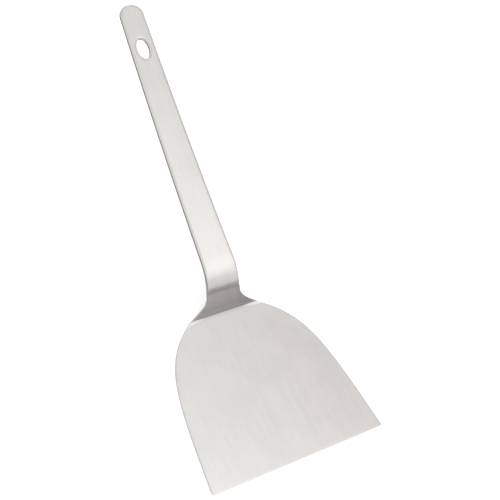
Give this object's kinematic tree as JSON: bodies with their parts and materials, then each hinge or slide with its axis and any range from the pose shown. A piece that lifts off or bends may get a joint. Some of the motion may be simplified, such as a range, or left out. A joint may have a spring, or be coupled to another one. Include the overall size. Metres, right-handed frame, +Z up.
{
  "type": "grill spatula",
  "caption": "All-steel wide grill spatula: flat fan-shaped blade, short steep neck and a long bar handle with an oval hang hole.",
  "frame": {"origin": "centre of the blade's flat underside", "axes": "+Y from the front edge towards the handle's tip, +Z up out of the blade's upper face, +X to the right of a user who holds the handle"},
  "size_m": [0.1298, 0.3145, 0.0923],
  "materials": {
    "blade_steel": "fine satin stainless sheet, brushed lengthwise",
    "handle_steel": "fine satin stainless bar, brushed lengthwise",
    "weld_steel": "fused metal, hidden inside the lap"
  },
  "bodies": {
    "root": {"blade": "blade_steel", "handle": "handle_steel", "spot_welds": "weld_steel"}
  },
  "joints": []
}
